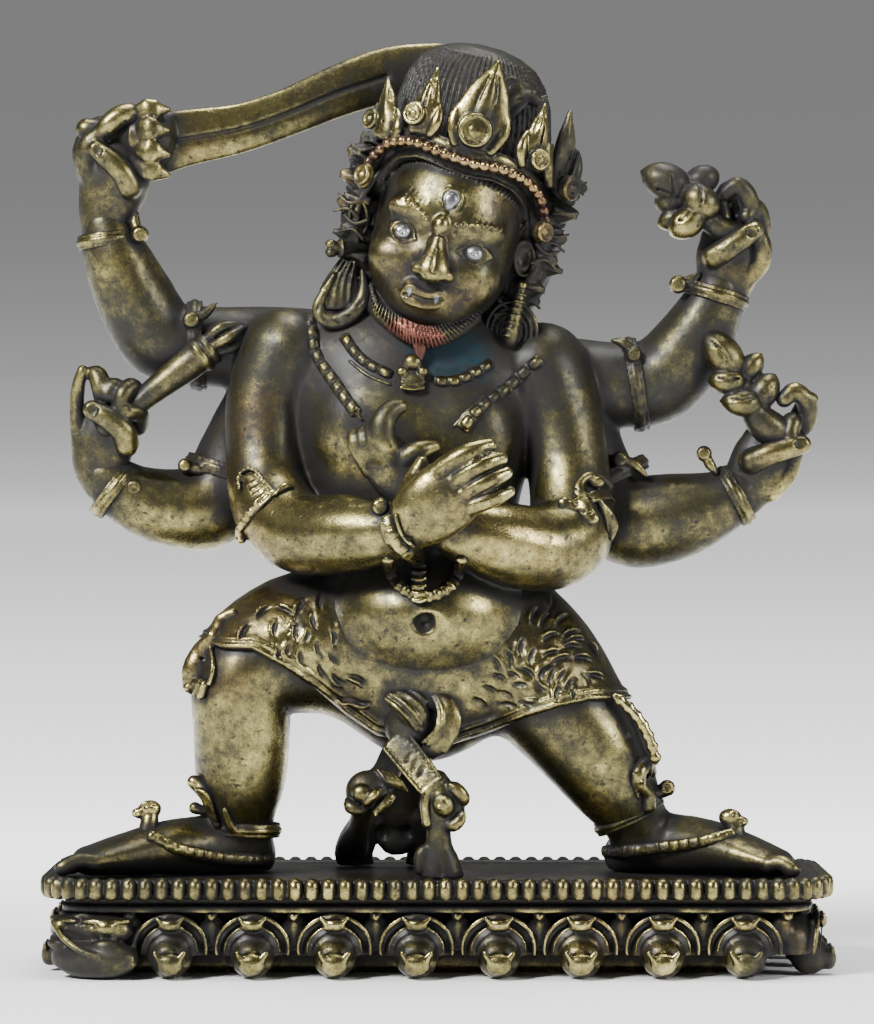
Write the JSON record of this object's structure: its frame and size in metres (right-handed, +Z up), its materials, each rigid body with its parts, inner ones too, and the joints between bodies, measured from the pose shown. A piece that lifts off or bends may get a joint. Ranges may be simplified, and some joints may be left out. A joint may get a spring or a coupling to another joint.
{
  "type": "bronze protector figure on lotus plinth",
  "caption": "Six-armed striding protector figure with sword and crown, cast with a long beaded lotus plinth that it stands on.",
  "frame": {"origin": "middle of the plinth's flat underside", "axes": "+Z up, the figure's front towards -Y, +X towards the viewer's right, the figure's left hand side"},
  "size_m": [0.1594, 0.069, 0.1856],
  "materials": {
    "figure_brass": "worn and patinated, dark in the recesses",
    "plinth_brass": "worn and patinated, dark in the recesses"
  },
  "bodies": {
    "root": {"figure": "figure_brass", "lotus_plinth": "plinth_brass"}
  },
  "joints": []
}
